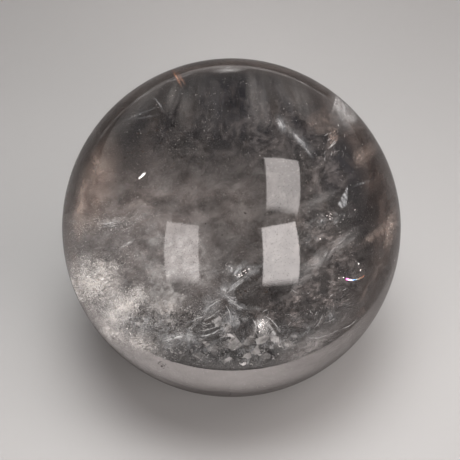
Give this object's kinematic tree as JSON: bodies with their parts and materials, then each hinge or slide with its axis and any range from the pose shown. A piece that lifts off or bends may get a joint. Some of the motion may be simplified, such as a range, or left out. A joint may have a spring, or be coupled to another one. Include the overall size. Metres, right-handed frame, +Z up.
{
  "type": "polished quartz sphere",
  "caption": "Solid polished sphere of clear, faintly smoky rock crystal with internal veils and fractures, resting on a small flat.",
  "frame": {"origin": "centre of the small flat that the sphere rests on", "axes": "+Z up from the flat through the centre of the sphere; X and Y are level, and -Y faces the viewer"},
  "size_m": [0.07, 0.07, 0.0695],
  "materials": {
    "clear_quartz": "high polish, clear with a faint smoky tint and pale veils inside"
  },
  "bodies": {
    "root": {"quartz_sphere": "clear_quartz"}
  },
  "joints": []
}
